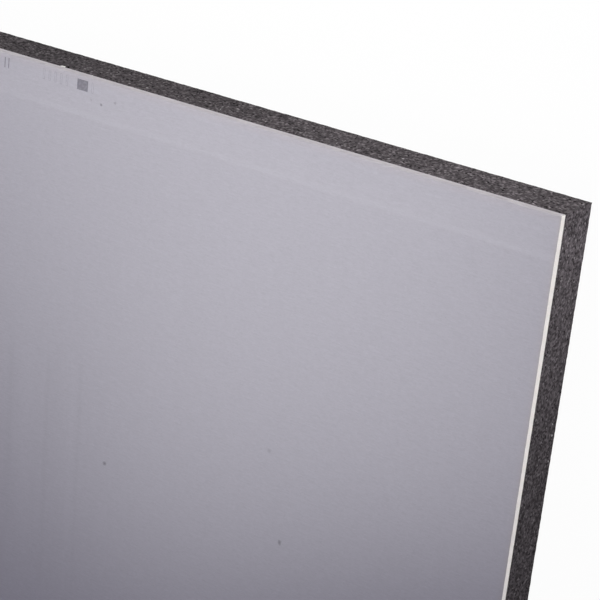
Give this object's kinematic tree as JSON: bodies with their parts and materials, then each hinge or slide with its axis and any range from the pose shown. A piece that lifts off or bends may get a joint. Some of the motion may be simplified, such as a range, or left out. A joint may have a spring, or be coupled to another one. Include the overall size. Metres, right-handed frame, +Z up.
{
  "type": "insulated drywall sheet",
  "caption": "Rectangular drywall sheet with tapered paper-wrapped long edges and square-cut ends, bonded to a grey bead-foam insulation board; lines and insulates a wall.",
  "frame": {"origin": "middle of the underside, on the floor the sheet lies on", "axes": "+X along the tapered long edges, +Y across the sheet, +Z up out of the paper face"},
  "size_m": [2.6, 1.2, 0.0695],
  "materials": {
    "bead_foam": "graphite-grey moulded bead foam, cut surface, matte",
    "back_paper": "uncoated grey-brown liner paper, matte",
    "gypsum": "set plaster, cut and slightly porous, matte",
    "face_paper": "uncoated lilac-grey liner paper with faint fibres, matte"
  },
  "bodies": {
    "root": {"insulation_board": "bead_foam", "back_liner": "back_paper", "gypsum_core": "gypsum", "face_liner": "face_paper"}
  },
  "joints": []
}
